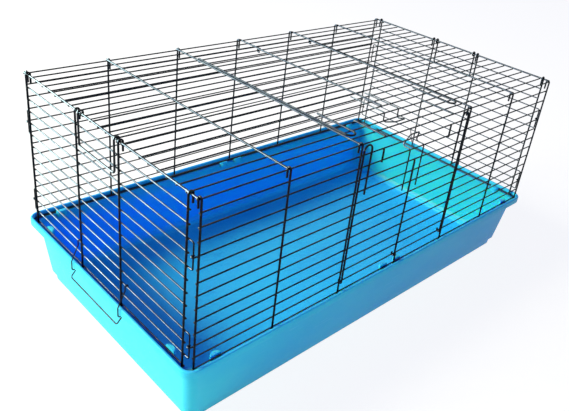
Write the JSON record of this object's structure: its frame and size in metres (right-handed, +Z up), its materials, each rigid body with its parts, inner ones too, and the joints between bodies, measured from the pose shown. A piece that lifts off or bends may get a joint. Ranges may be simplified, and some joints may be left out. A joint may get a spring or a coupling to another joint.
{
  "type": "rabbit cage",
  "caption": "Wire cage on a deep moulded tray for rabbits and other small pets, with a drop-down front door, a lift-up roof door, hinged carry handles and wire clips to the tray.",
  "frame": {"origin": "middle of the tray's underside, on the surface that the cage stands on", "axes": "+X along the length towards the right end, +Y towards the back, +Z up; the front door is on the -Y side"},
  "size_m": [1.0136, 0.548, 0.4493],
  "materials": {
    "tray_plastic": "moulded gloss",
    "cage_wire": "dark zinc plate"
  },
  "bodies": {
    "tray": {"base_tray": "tray_plastic"},
    "cage_top": {"roof_panel": "cage_wire", "front_panel": "cage_wire", "back_panel": "cage_wire", "left_end_panel": "cage_wire", "right_end_panel": "cage_wire", "front_left_corner_loops": "cage_wire", "front_right_corner_loops": "cage_wire", "back_left_corner_loops": "cage_wire", "back_right_corner_loops": "cage_wire", "front_left_stiffener": "cage_wire", "front_right_stiffener": "cage_wire", "roof_left_stiffener": "cage_wire", "roof_right_stiffener": "cage_wire"},
    "front_door": {"front_door": "cage_wire", "front_door_latch": "cage_wire"},
    "roof_door": {"roof_door": "cage_wire", "roof_door_latch": "cage_wire"},
    "left_handle": {"left_carry_handle": "cage_wire"},
    "right_handle": {"right_carry_handle": "cage_wire"},
    "left_clip": {"left_tray_clip": "cage_wire"},
    "right_clip": {"right_tray_clip": "cage_wire"}
  },
  "joints": [
    {"name": "cage_top_lift", "type": "slide", "parent": "tray", "child": "cage_top", "axis": [0, 0, 1], "range_m": [0, 0.2], "deforming": ["left_tray_clip", "right_tray_clip"]},
    {"name": "front_door_hinge", "type": "hinge", "parent": "cage_top", "child": "front_door", "pos_m": [0, -0.2602, 0.1605], "axis": [1, 0, 0], "range_deg": [0, 120], "deforming": ["front_door_latch"]},
    {"name": "roof_door_hinge", "type": "hinge", "parent": "cage_top", "child": "roof_door", "pos_m": [0, 0.1888, 0.4402], "axis": [-1, 0, 0], "range_deg": [0, 155], "deforming": ["roof_door_latch"]},
    {"name": "left_handle_hinge", "type": "hinge", "parent": "cage_top", "child": "left_handle", "pos_m": [-0.4851, 0, 0.443], "axis": [0, 1, 0], "range_deg": [0, 180]},
    {"name": "right_handle_hinge", "type": "hinge", "parent": "cage_top", "child": "right_handle", "pos_m": [0.4851, 0, 0.443], "axis": [0, -1, 0], "range_deg": [0, 180]},
    {"name": "left_clip_hinge", "type": "hinge", "parent": "cage_top", "child": "left_clip", "pos_m": [-0.4862, 0, 0.184], "axis": [0, 1, 0], "range_deg": [0, 110]},
    {"name": "right_clip_hinge", "type": "hinge", "parent": "cage_top", "child": "right_clip", "pos_m": [0.4862, 0, 0.184], "axis": [0, -1, 0], "range_deg": [0, 110]}
  ]
}
